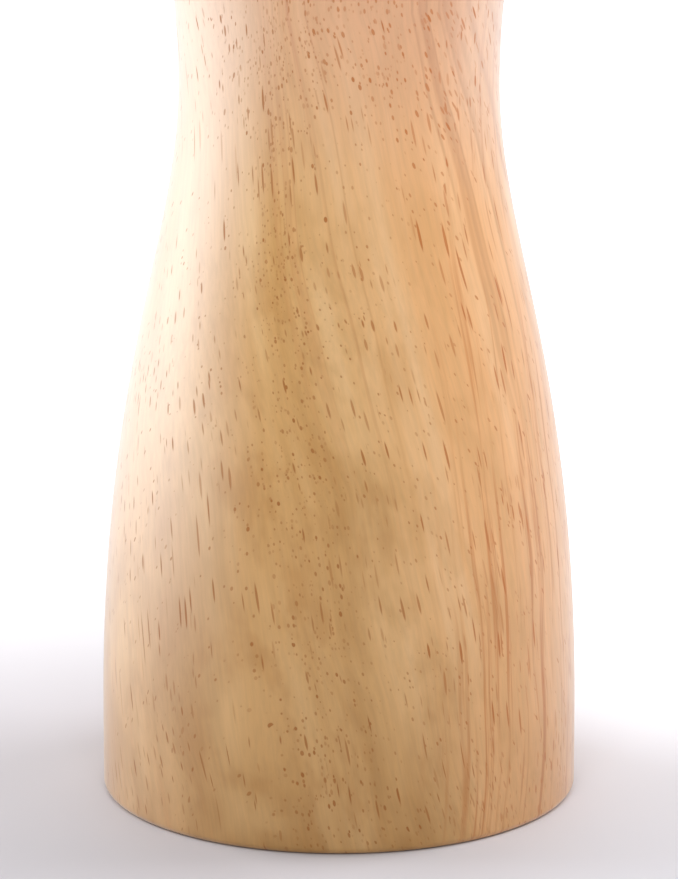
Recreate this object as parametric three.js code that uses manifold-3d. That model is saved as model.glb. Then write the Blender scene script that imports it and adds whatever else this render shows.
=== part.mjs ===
// A hand pepper mill in turned rubberwood. A bell-shaped barrel with a waist holds the peppercorns, and a
// domed head turns on it. The head drives a square shaft, and the shaft turns a ceramic burr in the base.
// The knob on the shaft's thread draws the burr up for a finer grind, and a spring pushes it down.
// Millimetres, +Z up, origin at the centre of the foot.

import * as THREE from "three";
import { mergeVertices } from "three/addons/utils/BufferGeometryUtils.js";
import Module from "manifold-3d";

const wasm = await Module();
wasm.setup();

// ---- Driving dimensions ----

// Clearances
const SEAT = 0.1; // between faces that are screwed, pressed or held together
const RUNNING = 0.3; // between pieces that turn or slide past each other

// Barrel
const FOOT_RADIUS = 29;
const FOOT_STRAIGHT = 9.3; // height of the upright band above the foot
const WAIST_RADIUS = 19.3;
const WAIST_HEIGHT = 88.3;
const BELL_CURVE = [0.555, 0.247]; // pulls of the outline from the foot to the waist
const THROAT_CURVE = [0.5, 0.2]; // and from the waist to the lip
const LIP_RADIUS = 22.6; // where barrel and head meet
const BARREL_HEIGHT = 120.4;
const EDGE_ROUND = 1; // on the foot and on both sides of the parting line
const HOPPER_RADIUS = 13;

// Head
const PARTING_GAP = 0.4;
const HEAD_RADIUS = 27;
const HEAD_WIDEST = 27; // height of the widest place above the head's lower face
const HEAD_HEIGHT = 58;
const CROWN_RADIUS = 10.5; // flat round the top of the dome
const HEAD_CURVE = [0.3, 0.5]; // pulls of the outline from the lip to the widest place
const DOME_RISE = 0.62; // pulls of the dome: up from the widest place
const DOME_SPREAD = 0.55; // and out from the crown
const TENON_LENGTH = 9;

// Mouth ring and glide washer
const RING_WALL = 0.9;
const RING_FLANGE_WIDTH = 3.5;
const RING_FLANGE_THICKNESS = 1;
const RING_LENGTH = 11;
const RING_INSET = 0.5; // flange top below the barrel's lip

// Shaft, turn plate and their fasteners
const SHAFT_SIDE = 6;
const THREAD_IN_HEAD = 9; // thread below the head's top
const TURN_PLATE_THICKNESS = 1.5;
const TURN_PLATE_MARGIN = 0.8; // plate edge inside the tenon's edge
const TURN_SCREW = { shank: 1.2, head: 2.4, length: 8 };
const ROTOR_SCREW = { shank: 1.5, head: 2.8, headHeight: 2, length: 11 };
const ROTOR_WASHER_LAP = 1; // washer past the corners of the rotor's square hole
const ROTOR_WASHER_THICKNESS = 0.8;

// Grinder in the base
const STATOR_HEIGHT = 10.5;
const STATOR_WALL = 1.8;
const BURR_MOUTH = 13; // stator's tooth tips at its lower edge
const BURR_TAPER = 2.2; // how much smaller it is at the top of the fine teeth
const FINE_TEETH_HEIGHT = 7.5;
const TOOTH_DEPTH = 0.5;
const STATOR_TWIST = -0.02; // radians that the teeth turn in each millimetre of height
const ROTOR_TWIST = 0.03;
const BLADE_TWIST = 0.13;
const STATOR_TEETH = 24;
const ROTOR_TEETH = 20;
const BURR_GAP = 0.35; // between the tooth tips at the finest setting
const ROTOR_INSET = 1.2; // rotor's lower face above the stator's
const ROTOR_RING_HEIGHT = 6.5;
const CRUSHER_HEIGHT = 8.5;
const CRUSHER_BLADES = 3;
const HOUSING_WALL = 2.4;
const HOUSING_LEDGE = 1.4; // shoulder that the stator seats against
const FLANGE_WIDTH = 4.8;
const FLANGE_THICKNESS = 1.8;
const BRIDGE_THICKNESS = 3;
const BRIDGE_HUB_WALL = 2.2;
const SPOKE_WIDTH = 3;
const BASE_PLATE_INSET = 3.8; // plate's underside above the foot
const BASE_PLATE_THICKNESS = 1.2;
const BASE_SCREW = { shank: 1.3, head: 2.3, headHeight: 1.6, length: 11 };

// Spring
const SPRING_WIRE = 0.8;
const SPRING_LENGTH = 9;
const SPRING_TURNS = 5;
const SPRING_EASE = 0.55; // share of its rise that slows towards both ends
const SPRING_SEAT_THICKNESS = 0.8;

// Knob
const TOP_PLATE_THICKNESS = 1.2;
const TOP_PLATE_RADIUS = 9.8;
const KNOB_WASHER_THICKNESS = 0.8;
const KNOB_FOOT_RADIUS = 8.6;
const KNOB_NECK_RADIUS = 6.6;
const KNOB_BALL_RADIUS = 9;
const KNOB_FOOT_HEIGHT = 2;
const KNOB_STANDOFF = 1; // ball's lowest point above the knob's lower face
const THREAD_ENGAGED = 11.5; // length of thread inside the knob
const THREAD_SPARE = 2.5; // empty depth of the knob's bore beyond it

// Facets
const LARGE = 48;
const MEDIUM = 36;
const SMALL = 24;
const TINY = 12;

// ---- Sizes and levels worked out from them ----

const shaftCorner = SHAFT_SIDE / Math.SQRT2; // the square's circumscribed radius
const threadRadius = SHAFT_SIDE / 2; // thread turned on the end of the square bar
const shaftBore = shaftCorner + RUNNING; // round hole that the square bar turns in
const squareHole = SHAFT_SIDE + RUNNING;
const squareCorner = squareHole / Math.SQRT2;
const springInner = shaftCorner + RUNNING;
const springOuter = springInner + 2 * SPRING_WIRE;

const statorRadius = BURR_MOUTH + STATOR_WALL;
const statorPocket = statorRadius + SEAT;
const cupRadius = statorPocket + HOUSING_WALL;
const flangeRadius = cupRadius + FLANGE_WIDTH;
const chamberRadius = statorRadius - HOUSING_LEDGE;
const screwCircle = (cupRadius + flangeRadius) / 2;

const plateTop = BASE_PLATE_INSET + BASE_PLATE_THICKNESS;
const grinderBase = plateTop + SEAT; // lower face of the flange and of the stator
const flangeTop = grinderBase + FLANGE_THICKNESS;
const statorTop = grinderBase + STATOR_HEIGHT;
const rotorBase = grinderBase + ROTOR_INSET;
const rotorTop = rotorBase + ROTOR_RING_HEIGHT + CRUSHER_HEIGHT;
const springBase = rotorTop + SEAT;
const springSeatBase = springBase + SPRING_LENGTH + SEAT;
const bridgeBase = springSeatBase + SPRING_SEAT_THICKNESS + SEAT;
const housingTop = bridgeBase + BRIDGE_THICKNESS;

const washerStack = ROTOR_WASHER_THICKNESS + ROTOR_SCREW.headHeight + 2 * SEAT;
const pocketDepth = washerStack + RUNNING; // recess under the rotor for its washer and screw
const shaftFoot = rotorBase + pocketDepth;
const rotorWasherRadius = squareCorner + ROTOR_WASHER_LAP;

const tenonRadius = HOPPER_RADIUS - RUNNING;
const ringSleeve = HOPPER_RADIUS + RING_WALL;
const ringFlange = ringSleeve + RING_FLANGE_WIDTH;
const ringTop = BARREL_HEIGHT - RING_INSET;
const headBase = BARREL_HEIGHT + PARTING_GAP;
const headTop = headBase + HEAD_HEIGHT;
const turnPlateRadius = tenonRadius - TURN_PLATE_MARGIN;
const turnScrewCircle = (squareCorner + turnPlateRadius) / 2;

const topPlateBase = headTop + SEAT;
const knobWasherBase = topPlateBase + TOP_PLATE_THICKNESS + SEAT;
const knobBase = knobWasherBase + KNOB_WASHER_THICKNESS + SEAT;
const shaftTop = knobBase + THREAD_ENGAGED;
const shaftShoulder = headTop - THREAD_IN_HEAD; // end of the square, start of the thread

// ---- Materials ----

const standard = (color, roughness, metalness) =>
  new THREE.MeshStandardMaterial({ color, roughness, metalness });
const rubberwood = standard(0xd9b184, 0.5, 0);
const steel = standard(0xb9bbbd, 0.28, 1);
const zinc = standard(0xa4a6a8, 0.4, 1);
const ceramic = standard(0xeeebe2, 0.45, 0);
const acetal = standard(0x1c1c1e, 0.5, 0);
const nylon = standard(0xe8e4da, 0.55, 0);

// ---- Shape helpers ----

const at = (radius, height) => new THREE.Vector2(radius, height);

/** A closed outline in (radius, height), turned about Z. */
function lathe(outline, facets) {
  const closed = [...outline, outline[0]];
  if (THREE.ShapeUtils.area(outline) < 0) closed.reverse();
  return new THREE.LatheGeometry(closed, facets).rotateX(Math.PI / 2);
}

/** A rectangular ring between two radii and two heights. */
const ring = (inner, outer, low, high, facets) =>
  lathe([at(inner, low), at(outer, low), at(outer, high), at(inner, high)], facets);

/** A solid disc or pin between two heights. */
const disc = (radius, low, high, facets) =>
  lathe([at(0, low), at(radius, low), at(radius, high), at(0, high)], facets);

/** A quarter round about a centre, between two angles in degrees. */
const round = (centre, radius, from, to) =>
  new THREE.EllipseCurve(
    centre.x,
    centre.y,
    radius,
    radius,
    THREE.MathUtils.degToRad(from),
    THREE.MathUtils.degToRad(to),
    to < from,
  ).getPoints(3);

/** An S-curve that leaves a and reaches b upright. The pulls are shares of the rise. */
function upright(a, b, [pullA, pullB], steps) {
  const rise = b.y - a.y;
  const leave = at(a.x, a.y + pullA * rise);
  const reach = at(b.x, b.y - pullB * rise);
  return new THREE.CubicBezierCurve(a, leave, reach, b).getPoints(steps);
}

/** Moves the vertices on the worked face of a turned shape: out by depth, and round Z by twist. */
function carve(geometry, { worked, depth, twist }) {
  const position = geometry.getAttribute("position");
  for (let i = 0; i < position.count; i++) {
    const height = position.getZ(i);
    const radius = Math.hypot(position.getX(i), position.getY(i));
    if (!worked(radius)) continue;
    const angle = Math.atan2(position.getY(i), position.getX(i));
    const carved = radius + depth(angle, radius, height);
    const turned = angle + twist(height);
    position.setXY(i, carved * Math.cos(turned), carved * Math.sin(turned));
  }
  return geometry;
}

/** 1 on each tooth's tip and 0 in each gap. */
const wave = (teeth, angle) => 0.5 + 0.5 * Math.cos(teeth * angle);

/** A manifold-3d solid from a closed three.js geometry. */
function solid(geometry) {
  const bare = new THREE.BufferGeometry();
  bare.setAttribute("position", geometry.getAttribute("position"));
  bare.setIndex(geometry.getIndex());
  const merged = mergeVertices(bare);
  return new wasm.Manifold(
    new wasm.Mesh({
      numProp: 3,
      vertProperties: merged.getAttribute("position").array,
      triVerts: new Uint32Array(merged.getIndex().array),
    }),
  );
}

/** The three.js geometry of a manifold-3d solid. */
function shown(made) {
  const { vertProperties, triVerts } = made.getMesh();
  return new THREE.BufferGeometry()
    .setAttribute("position", new THREE.BufferAttribute(vertProperties, 3))
    .setIndex(new THREE.BufferAttribute(triVerts, 1));
}

/** A geometry with others cut out of it. */
const cut = (geometry, ...tools) =>
  shown(tools.reduce((left, tool) => left.subtract(solid(tool)), solid(geometry)));

/** Copies of a geometry at equal angles on a circle. */
const around = (count, radius, geometry) =>
  Array.from({ length: count }, (_, i) =>
    geometry
      .clone()
      .translate(radius, 0, 0)
      .rotateZ((2 * Math.PI * i) / count),
  );

/** A square bar along Z between two heights. */
const squareBar = (side, low, high) =>
  new THREE.BoxGeometry(side, side, high - low).translate(0, 0, (low + high) / 2);

/** A named mesh at a height above its group's origin. */
function piece(name, geometry, material, height = 0) {
  const mesh = new THREE.Mesh(geometry, material);
  mesh.name = name;
  mesh.position.z = height;
  return mesh;
}

/** A group of pieces at a height. */
function group(height, ...pieces) {
  const made = new THREE.Group();
  made.position.z = height;
  made.add(...pieces);
  return made;
}

/** Three like screws on a circle, each its own piece. */
const screws = (name, geometry, material, radius, height) =>
  [0, 1, 2].map((i) => {
    const angle = (2 * Math.PI * i) / 3;
    const mesh = piece(`${name}_${i + 1}`, geometry, material, height);
    mesh.position.x = radius * Math.cos(angle);
    mesh.position.y = radius * Math.sin(angle);
    mesh.rotation.z = angle;
    return mesh;
  });

// ---- Barrel: the turned body, with steps inside for the grinder below and the mouth ring above ----

function barrel() {
  const foot = at(FOOT_RADIUS, FOOT_STRAIGHT);
  const waist = at(WAIST_RADIUS, WAIST_HEIGHT);
  const lip = at(LIP_RADIUS, BARREL_HEIGHT - EDGE_ROUND);
  const outside = [
    ...round(at(FOOT_RADIUS - EDGE_ROUND, EDGE_ROUND), EDGE_ROUND, -90, 0),
    ...upright(foot, waist, BELL_CURVE, 11),
    ...upright(waist, lip, THROAT_CURVE, 5).slice(1),
    ...round(at(LIP_RADIUS - EDGE_ROUND, BARREL_HEIGHT - EDGE_ROUND), EDGE_ROUND, 0, 90).slice(1),
  ];
  const flangeSeat = ringTop - RING_FLANGE_THICKNESS - SEAT;
  const sleeveSeat = ringTop - RING_LENGTH - SEAT;
  const inside = [
    at(ringFlange + SEAT, BARREL_HEIGHT),
    at(ringFlange + SEAT, flangeSeat),
    at(ringSleeve + SEAT, flangeSeat),
    at(ringSleeve + SEAT, sleeveSeat),
    at(HOPPER_RADIUS, sleeveSeat),
    at(HOPPER_RADIUS, housingTop + SEAT),
    at(cupRadius + SEAT, housingTop + SEAT),
    at(cupRadius + SEAT, flangeTop + SEAT),
    at(flangeRadius + SEAT, flangeTop + SEAT),
    at(flangeRadius + SEAT, 0),
  ];
  const pilotTop = BASE_PLATE_INSET + BASE_SCREW.length + SEAT;
  const pilot = disc(BASE_SCREW.shank + SEAT, plateTop, pilotTop, TINY);
  return cut(lathe([...outside, ...inside], LARGE), ...around(3, screwCircle, pilot));
}

/** Flanged steel bush in the barrel's mouth. Its own zero is the flange's top. */
function mouthRing() {
  const outline = [
    at(HOPPER_RADIUS, 0),
    at(HOPPER_RADIUS, -RING_LENGTH),
    at(ringSleeve, -RING_LENGTH),
    at(ringSleeve, -RING_FLANGE_THICKNESS),
    at(ringFlange, -RING_FLANGE_THICKNESS),
    at(ringFlange, 0),
  ];
  return lathe(outline, MEDIUM);
}

const glideWasher = () => ring(HOPPER_RADIUS, ringFlange, 0, headBase - ringTop - 2 * SEAT, MEDIUM);

// ---- Grinder: cup, bridge, stator, base plate and screws, from the grinder's lower face up ----

/** Flanged cup. Three spokes hold the hub that guides the shaft. */
function grinderHousing() {
  const top = housingTop - grinderBase;
  const bridge = bridgeBase - grinderBase;
  const ledge = STATOR_HEIGHT + SEAT;
  const cup = lathe(
    [
      at(statorPocket, 0),
      at(flangeRadius, 0),
      at(flangeRadius, FLANGE_THICKNESS),
      at(cupRadius, FLANGE_THICKNESS),
      at(cupRadius, top),
      at(chamberRadius, top),
      at(chamberRadius, ledge),
      at(statorPocket, ledge),
    ],
    LARGE,
  );
  const hubRadius = shaftBore + BRIDGE_HUB_WALL;
  const reach = chamberRadius + HOUSING_LEDGE - shaftBore;
  const spoke = new THREE.BoxGeometry(reach, SPOKE_WIDTH, BRIDGE_THICKNESS);
  spoke.translate(shaftBore + reach / 2, 0, bridge + BRIDGE_THICKNESS / 2);
  const bridged = [disc(hubRadius, bridge, top, SMALL), ...around(3, 0, spoke)].reduce(
    (joined, part) => joined.add(solid(part)),
    solid(cup),
  );
  const screwHole = disc(BASE_SCREW.shank + SEAT, -1, FLANGE_THICKNESS + 1, TINY);
  const holes = [disc(shaftBore, bridge - 1, top + 1, SMALL), ...around(3, screwCircle, screwHole)];
  return shown(holes.reduce((left, hole) => left.subtract(solid(hole)), bridged));
}

/** Radius of the stator's tooth tips at a height above its lower face. */
const statorTip = (height) => BURR_MOUTH - (BURR_TAPER * height) / FINE_TEETH_HEIGHT;

/** Ring with fine teeth inside, opening into a funnel above them. */
function statorBurr() {
  const rows = [0, 1 / 3, 2 / 3, 1].map((share) => share * FINE_TEETH_HEIGHT);
  const outline = [
    at(statorRadius, 0),
    at(statorRadius, STATOR_HEIGHT),
    at(BURR_MOUTH, STATOR_HEIGHT),
    ...rows.reverse().map((height) => at(statorTip(height), height)),
  ];
  const depth = (angle, _, height) =>
    height > FINE_TEETH_HEIGHT + SEAT ? 0 : TOOTH_DEPTH * (1 - wave(STATOR_TEETH, angle));
  return carve(lathe(outline, 3 * STATOR_TEETH), {
    worked: (radius) => radius < statorRadius - SEAT,
    depth,
    twist: (height) => STATOR_TWIST * Math.min(height, FINE_TEETH_HEIGHT),
  });
}

/** Cone with fine teeth round its foot and helical crushing blades above, bored for the shaft. */
function rotorBurr() {
  const top = ROTOR_RING_HEIGHT + CRUSHER_HEIGHT;
  const hub = springOuter + RUNNING;
  const tip = (height) => statorTip(height + ROTOR_INSET) - BURR_GAP;
  const bladeFoot = tip(ROTOR_RING_HEIGHT) - TOOTH_DEPTH;
  const bladeRows = [0.1, 0.4, 0.7, 1];
  const bladeTip = (share) => THREE.MathUtils.lerp(bladeFoot, hub + TOOTH_DEPTH, share);
  const outline = [
    at(0, 0),
    at(tip(0) - TOOTH_DEPTH, 0),
    ...[0.1, 0.55, 1].map((share) => at(tip(share * ROTOR_RING_HEIGHT), share * ROTOR_RING_HEIGHT)),
    ...bladeRows.map((share) => at(bladeTip(share), ROTOR_RING_HEIGHT + share * CRUSHER_HEIGHT)),
    at(0, top),
  ];
  const depth = (angle, radius, height) => {
    if (height > ROTOR_RING_HEIGHT + SEAT) return (hub - radius) * (1 - wave(CRUSHER_BLADES, angle) ** 2);
    return height > 0 ? -TOOTH_DEPTH * (1 - wave(ROTOR_TEETH, angle)) : 0;
  };
  const cone = carve(lathe(outline, 3 * ROTOR_TEETH), {
    worked: (radius) => radius > hub,
    depth,
    twist: (height) =>
      ROTOR_TWIST * Math.min(height, ROTOR_RING_HEIGHT) +
      BLADE_TWIST * Math.max(0, height - ROTOR_RING_HEIGHT),
  });
  const pocket = disc(rotorWasherRadius + RUNNING, -1, pocketDepth, SMALL);
  return cut(cone, pocket, squareBar(squareHole, 0, top + 1));
}

/** Steel ring that covers the flange and keeps the stator up. */
function basePlate() {
  const plate = ring(BURR_MOUTH + SEAT, flangeRadius, 0, BASE_PLATE_THICKNESS, MEDIUM);
  const hole = disc(BASE_SCREW.shank + SEAT, -1, BASE_PLATE_THICKNESS + 1, TINY);
  return cut(plate, ...around(3, screwCircle, hole));
}

/** Pan-head screw. Its own zero is the head's bearing face, and the shank points up. */
function panScrew({ shank, head, headHeight, length }) {
  const outline = [
    at(0, -headHeight),
    at(0.75 * head, -headHeight),
    at(head, -0.6 * headHeight),
    at(head, 0),
    at(shank, 0),
    at(shank, length - shank),
    at(0, length),
  ];
  return lathe(outline, TINY);
}

// ---- Drive: shaft, spring and its seat ----

/** Square bar with a turned thread at the top and a tapped hole in its foot. Its own zero is the foot. */
function driveShaft() {
  const shoulder = shaftShoulder - shaftFoot;
  const top = shaftTop - shaftFoot;
  const chamfer = threadRadius / 4;
  const thread = lathe(
    [
      at(0, shoulder - SHAFT_SIDE),
      at(threadRadius - SEAT, shoulder - SHAFT_SIDE),
      at(threadRadius - SEAT, top - chamfer),
      at(threadRadius - SEAT - chamfer, top),
      at(0, top),
    ],
    SMALL,
  );
  const bar = solid(squareBar(SHAFT_SIDE, 0, shoulder)).add(solid(thread));
  const tapping = disc(ROTOR_SCREW.shank + SEAT, -1, ROTOR_SCREW.length, TINY);
  return shown(bar.subtract(solid(tapping)));
}

/** Coil with closed ends: the pitch falls away over the first and last turns. */
class Coil extends THREE.Curve {
  getPoint(t, target = new THREE.Vector3()) {
    const angle = 2 * Math.PI * SPRING_TURNS * t;
    const radius = springInner + SPRING_WIRE;
    const rise = THREE.MathUtils.lerp(t, THREE.MathUtils.smootherstep(t, 0, 1), SPRING_EASE);
    const height = SPRING_WIRE / 2 + rise * (SPRING_LENGTH - SPRING_WIRE);
    return target.set(radius * Math.cos(angle), radius * Math.sin(angle), height);
  }
}

/** Round wire along the coil, from the rotor's top to the spring seat. */
function coilSpring() {
  const wire = new THREE.Shape().absarc(0, 0, SPRING_WIRE / 2, 0, 2 * Math.PI);
  return new THREE.ExtrudeGeometry(wire, {
    curveSegments: 3,
    steps: TINY * SPRING_TURNS,
    extrudePath: new Coil(),
  });
}

/** Round plate with a square hole for the bar. */
const drivenPlate = (radius, thickness, facets) =>
  cut(disc(radius, 0, thickness, facets), squareBar(squareHole, -1, thickness + 1));

// ---- Head: the turned cap, its turn plate and its escutcheon, from the head's lower face up ----

function head() {
  const widest = at(HEAD_RADIUS, HEAD_WIDEST);
  const dome = new THREE.CubicBezierCurve(
    widest,
    at(HEAD_RADIUS, HEAD_WIDEST + DOME_RISE * (HEAD_HEIGHT - HEAD_WIDEST)),
    at(CROWN_RADIUS + DOME_SPREAD * (HEAD_RADIUS - CROWN_RADIUS), HEAD_HEIGHT),
    at(CROWN_RADIUS, HEAD_HEIGHT),
  );
  const outline = [
    at(shaftBore, -TENON_LENGTH),
    at(tenonRadius, -TENON_LENGTH),
    at(tenonRadius, 0),
    ...round(at(LIP_RADIUS - EDGE_ROUND, EDGE_ROUND), EDGE_ROUND, -90, 0),
    ...upright(at(LIP_RADIUS, EDGE_ROUND), widest, HEAD_CURVE, 5).slice(1),
    ...dome.getPoints(8).slice(1),
    at(shaftBore, HEAD_HEIGHT),
  ];
  const pilotDepth = TURN_SCREW.length - TURN_PLATE_THICKNESS;
  const pilot = disc(TURN_SCREW.shank + SEAT, -TENON_LENGTH - 1, -TENON_LENGTH + pilotDepth, TINY);
  return cut(lathe(outline, LARGE), ...around(3, turnScrewCircle, pilot));
}

/** Countersunk screw. Its own zero is the head's flat face, and the shank points up. */
function flatScrew({ shank, head, length }, sink, slack) {
  const outline = [
    at(0, 0),
    at(head + slack, 0),
    at(shank + slack, sink),
    at(shank + slack, length - shank),
    at(0, length),
  ];
  return lathe(outline, TINY);
}

function turnPlate() {
  const plate = drivenPlate(turnPlateRadius, TURN_PLATE_THICKNESS, MEDIUM);
  const sunk = flatScrew(TURN_SCREW, TURN_PLATE_THICKNESS, SEAT);
  return cut(plate, ...around(3, turnScrewCircle, sunk.translate(0, 0, -SEAT / 2)));
}

const topPlate = () =>
  lathe(
    [
      at(threadRadius + RUNNING, 0),
      at(TOP_PLATE_RADIUS, 0),
      at(TOP_PLATE_RADIUS, TOP_PLATE_THICKNESS / 2),
      at(TOP_PLATE_RADIUS - TOP_PLATE_THICKNESS / 2, TOP_PLATE_THICKNESS),
      at(threadRadius + RUNNING, TOP_PLATE_THICKNESS),
    ],
    MEDIUM,
  );

/** Ball knob on a short neck and a foot, with a blind threaded bore. */
function knob() {
  const bore = threadRadius + RUNNING;
  const radius = KNOB_BALL_RADIUS;
  const neckAngle = Math.acos(KNOB_NECK_RADIUS / radius);
  const centre = KNOB_STANDOFF + radius;
  const ball = new THREE.EllipseCurve(0, centre, radius, radius, -neckAngle, Math.PI / 2);
  const outline = [
    at(bore, 0),
    at(KNOB_FOOT_RADIUS, 0),
    at(KNOB_FOOT_RADIUS, KNOB_FOOT_HEIGHT),
    at(KNOB_NECK_RADIUS, KNOB_FOOT_HEIGHT + (KNOB_FOOT_RADIUS - KNOB_NECK_RADIUS) / 2),
    ...ball.getPoints(8),
    at(0, THREAD_ENGAGED + THREAD_SPARE),
    at(bore, THREAD_ENGAGED + THREAD_SPARE),
  ];
  return lathe(outline, MEDIUM);
}

// ---- Assembly ----

const body = group(
  0,
  piece("barrel", barrel(), rubberwood),
  piece("mouth_ring", mouthRing(), steel, ringTop),
  piece("glide_washer", glideWasher(), nylon, ringTop + SEAT),
);

const grinder = group(
  grinderBase,
  piece("grinder_housing", grinderHousing(), acetal),
  piece("stator_burr", statorBurr(), ceramic),
);

const underside = group(
  BASE_PLATE_INSET,
  piece("base_plate", basePlate(), steel),
  ...screws("base_screw", panScrew(BASE_SCREW), zinc, screwCircle, -SEAT),
);

const drive = group(
  shaftFoot,
  piece("drive_shaft", driveShaft(), steel),
  piece("rotor_burr", rotorBurr(), ceramic, -pocketDepth),
  piece(
    "rotor_washer",
    ring(ROTOR_SCREW.shank + SEAT, rotorWasherRadius, 0, ROTOR_WASHER_THICKNESS, SMALL),
    zinc,
    -SEAT - ROTOR_WASHER_THICKNESS,
  ),
  piece("rotor_screw", panScrew(ROTOR_SCREW), zinc, -2 * SEAT - ROTOR_WASHER_THICKNESS),
);

const springing = group(
  springBase,
  piece("spring", coilSpring(), zinc),
  piece(
    "spring_seat",
    drivenPlate(springOuter + RUNNING, SPRING_SEAT_THICKNESS, SMALL),
    zinc,
    springSeatBase - springBase,
  ),
);

const turnPlateHeight = -TENON_LENGTH - SEAT - TURN_PLATE_THICKNESS;
const cap = group(
  headBase,
  piece("head", head(), rubberwood),
  piece("turn_plate", turnPlate(), steel, turnPlateHeight),
  ...screws(
    "turn_plate_screw",
    flatScrew(TURN_SCREW, TURN_PLATE_THICKNESS, 0),
    zinc,
    turnScrewCircle,
    turnPlateHeight,
  ),
  piece("top_plate", topPlate(), steel, topPlateBase - headBase),
);

const finial = group(
  knobBase,
  piece("knob", knob(), steel),
  piece(
    "knob_washer",
    ring(threadRadius + RUNNING, KNOB_FOOT_RADIUS - RUNNING, 0, KNOB_WASHER_THICKNESS, MEDIUM),
    nylon,
    knobWasherBase - knobBase,
  ),
);

const mill = group(0, body, grinder, underside, drive, springing, cap, finial);

export default mill;
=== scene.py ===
"""Looks for a hand pepper mill in rubberwood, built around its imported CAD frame. Metres, +Z up."""

import math

import bmesh
import bpy
from mathutils import Matrix, Vector


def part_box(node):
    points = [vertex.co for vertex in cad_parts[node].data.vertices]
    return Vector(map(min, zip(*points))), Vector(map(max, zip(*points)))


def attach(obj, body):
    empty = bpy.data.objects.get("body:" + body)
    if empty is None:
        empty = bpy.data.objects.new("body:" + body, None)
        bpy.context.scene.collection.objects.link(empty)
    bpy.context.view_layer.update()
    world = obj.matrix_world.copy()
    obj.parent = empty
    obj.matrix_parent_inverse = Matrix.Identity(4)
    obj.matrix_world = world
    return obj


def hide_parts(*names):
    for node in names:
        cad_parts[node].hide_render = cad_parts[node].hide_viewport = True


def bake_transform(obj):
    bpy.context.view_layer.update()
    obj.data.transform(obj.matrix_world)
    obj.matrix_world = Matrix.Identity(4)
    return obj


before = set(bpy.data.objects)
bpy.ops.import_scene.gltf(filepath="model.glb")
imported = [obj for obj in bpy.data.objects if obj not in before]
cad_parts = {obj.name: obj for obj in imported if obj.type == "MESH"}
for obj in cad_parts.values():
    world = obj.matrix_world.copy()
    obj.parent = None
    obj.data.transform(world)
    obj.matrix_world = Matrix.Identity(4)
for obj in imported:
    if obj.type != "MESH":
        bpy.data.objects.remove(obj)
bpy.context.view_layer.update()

MM = 0.001

# ---- Sizes that the frame gives ----


def low(node):
    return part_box(node)[0]


def high(node):
    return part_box(node)[1]


FOOT_RADIUS = high("barrel").x
BARREL_TOP = high("barrel").z
HEAD_TOP = high("head").z
HEAD_RADIUS = high("head").x
TENON_BASE = low("head").z
RING_BASE = low("mouth_ring").z
RING_TOP = high("mouth_ring").z
RING_FLANGE = high("mouth_ring").x
PLATE_BASE = low("base_plate").z
PLATE_TOP = high("base_plate").z
GRINDER_BASE = low("grinder_housing").z
HOUSING_TOP = high("grinder_housing").z
FLANGE_RADIUS = high("grinder_housing").x
STATOR_TOP = high("stator_burr").z
STATOR_RADIUS = high("stator_burr").x
ROTOR_BASE = low("rotor_burr").z
ROTOR_TOP = high("rotor_burr").z
SHAFT_FOOT = low("drive_shaft").z
SHAFT_TOP = high("drive_shaft").z
SHAFT_HALF = high("drive_shaft").x
SPRING_BASE = low("spring").z
SPRING_SEAT_BASE = low("spring_seat").z
SPRING_SEAT_TOP = high("spring_seat").z
TURN_PLATE_BASE = low("turn_plate").z
TURN_PLATE_TOP = high("turn_plate").z
TURN_PLATE_RADIUS = high("turn_plate").x
TOP_PLATE_BASE = low("top_plate").z
TOP_PLATE_TOP = high("top_plate").z
TOP_PLATE_RADIUS = high("top_plate").x
KNOB_BASE = low("knob").z
KNOB_TOP = high("knob").z

# ---- Sizes of the shapes, as in the CAD part ----

SEAT = 0.1 * MM
RUNNING = 0.3 * MM
FOOT_STRAIGHT = 9.3 * MM
WAIST_RADIUS = 19.3 * MM
WAIST_HEIGHT = 88.3 * MM
BELL_CURVE = (0.555, 0.247)
THROAT_CURVE = (0.5, 0.2)
LIP_RADIUS = 22.6 * MM
HOPPER_RADIUS = 13 * MM
EDGE_ROUND = 1 * MM
HEAD_WIDEST = 27 * MM
HEAD_CURVE = (0.3, 0.5)
DOME_RISE = 0.62
DOME_SPREAD = 0.55
CROWN_RADIUS = 10.5 * MM
THREAD_IN_HEAD = 9 * MM
RING_WALL = 0.9 * MM
RING_FLANGE_THICKNESS = 1 * MM
CUP_RADIUS = 17.3 * MM
CHAMBER_RADIUS = 13.4 * MM
FLANGE_THICKNESS = 1.8 * MM
BRIDGE_THICKNESS = 3 * MM
HUB_WALL = 2.2 * MM
SPOKE_WIDTH = 3 * MM
BURR_MOUTH = 13 * MM
BURR_TAPER = 2.2 * MM
FINE_TEETH_HEIGHT = 7.5 * MM
TOOTH_DEPTH = 0.5 * MM
STATOR_TEETH = 24
STATOR_TWIST = -20  # radians in each metre of height
ROTOR_TEETH = 20
ROTOR_TWIST = 30
BLADE_TWIST = 130
BURR_GAP = 0.35 * MM
ROTOR_RING_HEIGHT = 6.5 * MM
CRUSHER_BLADES = 3
SPRING_WIRE = 0.8 * MM
SPRING_TURNS = 5
SPRING_EASE = 0.55
KNOB_FOOT_RADIUS = 8.6 * MM
KNOB_FOOT_HEIGHT = 2 * MM
KNOB_NECK_RADIUS = 6.6 * MM
KNOB_BALL_RADIUS = 9 * MM
KNOB_BORE_DEPTH = 14 * MM

# ---- Details that the CAD part leaves out ----

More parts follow.
